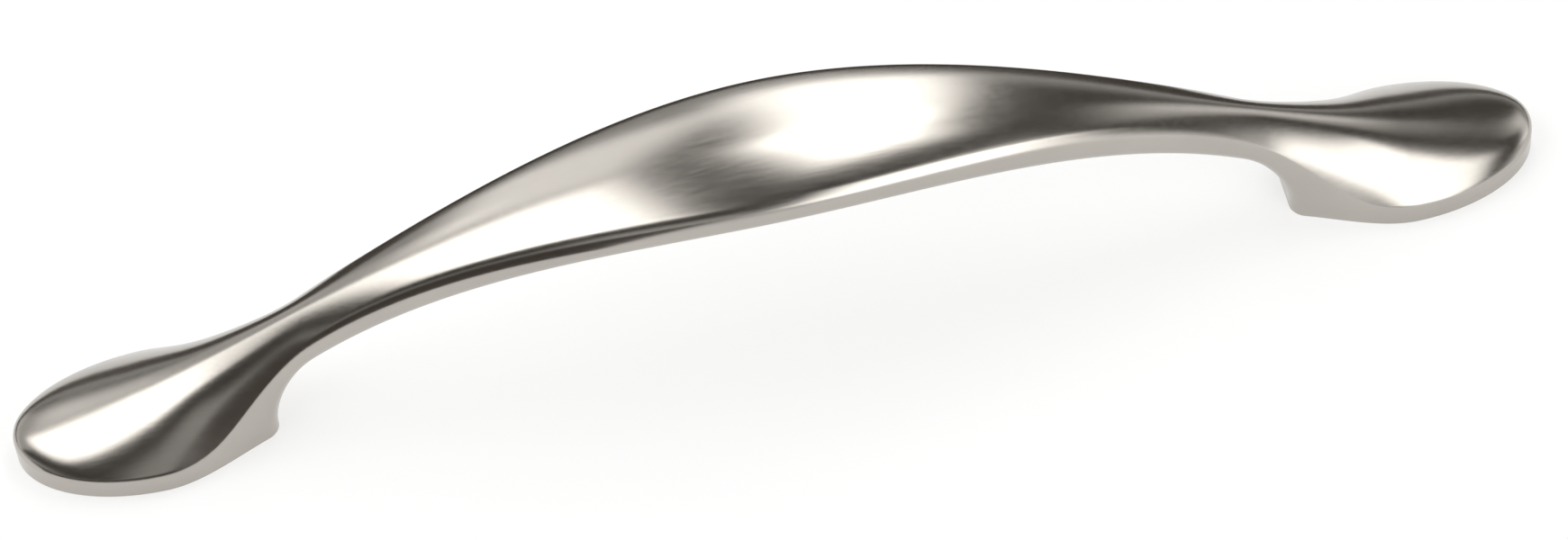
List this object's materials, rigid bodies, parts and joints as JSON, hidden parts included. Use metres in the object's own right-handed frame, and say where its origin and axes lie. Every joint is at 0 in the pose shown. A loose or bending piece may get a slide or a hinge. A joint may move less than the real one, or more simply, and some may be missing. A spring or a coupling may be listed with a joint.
{
  "type": "spoon foot cabinet pull",
  "caption": "Bowed cabinet pull cast in one piece, with a crowned lens-shaped grip, slim necks and spoon-shaped feet that take screws from behind.",
  "frame": {"origin": "midway between the two screw holes, on the plane of the feet that meets the drawer front", "axes": "+X along the pull through both holes, +Y across the grip, +Z away from the drawer front"},
  "size_m": [0.132, 0.014, 0.0227],
  "materials": {
    "satin_nickel": "satin nickel plating on a zinc casting"
  },
  "bodies": {
    "root": {"pull": "satin_nickel"}
  },
  "joints": []
}
